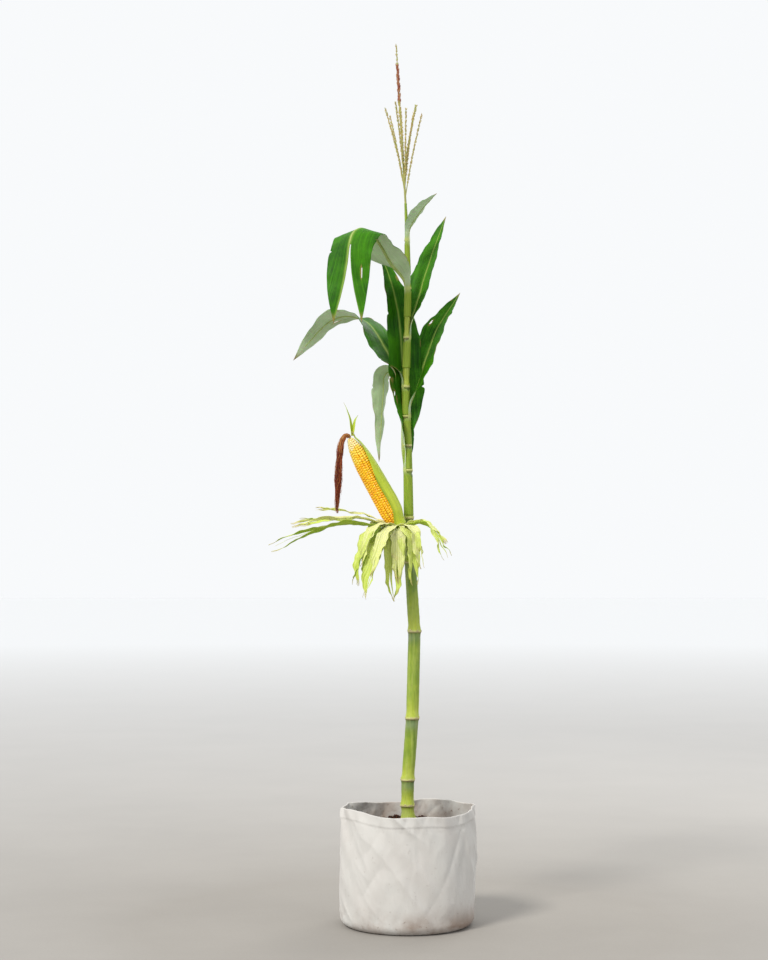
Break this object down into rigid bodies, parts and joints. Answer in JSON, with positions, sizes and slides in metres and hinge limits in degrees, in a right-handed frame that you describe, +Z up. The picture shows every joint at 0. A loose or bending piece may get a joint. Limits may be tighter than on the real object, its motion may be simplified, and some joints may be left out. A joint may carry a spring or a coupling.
{
  "type": "maize plant in a grow bag",
  "caption": "Maize plant with a peeled ear, silk, arching leaves and a tassel, standing in a soil-filled white fabric grow bag.",
  "frame": {"origin": "centre of the bag's flat underside, the mount named underside", "axes": "+Z up along the stalk, -Y towards the side that shows the ear, +X to the right of that view"},
  "size_m": [0.5396, 0.3727, 2.3121],
  "materials": {
    "bag_fabric": "matt woven fabric, stained",
    "soil": "moist crumbly potting soil",
    "stalk": "smooth satin green cane",
    "kernels": "glossy plump kernels",
    "leaf": "satin ribbed leaf",
    "husk": "matt ribbed husk",
    "silk": "dry fibrous silk",
    "tassel": "dry flower spikelets"
  },
  "bodies": {
    "root": {"grow_bag": "bag_fabric", "soil": "soil", "stalk": "stalk", "ear_shank": "stalk", "cob": "kernels", "leaf_1_lower": "leaf", "leaf_1_upper": "leaf", "leaf_2": "leaf", "leaf_3": "leaf", "leaf_4_lower": "leaf", "leaf_4_upper": "leaf", "leaf_5": "leaf", "leaf_6_lower": "leaf", "leaf_6_upper": "leaf", "leaf_7": "leaf", "husk_long_low": "husk", "husk_long_high": "husk", "husk_left": "husk", "husk_front_left": "husk", "husk_front": "husk", "husk_front_right": "husk", "husk_right": "husk", "husk_back_left": "husk", "husk_back": "husk", "silk": "silk", "tassel": "tassel"}
  },
  "joints": []
}
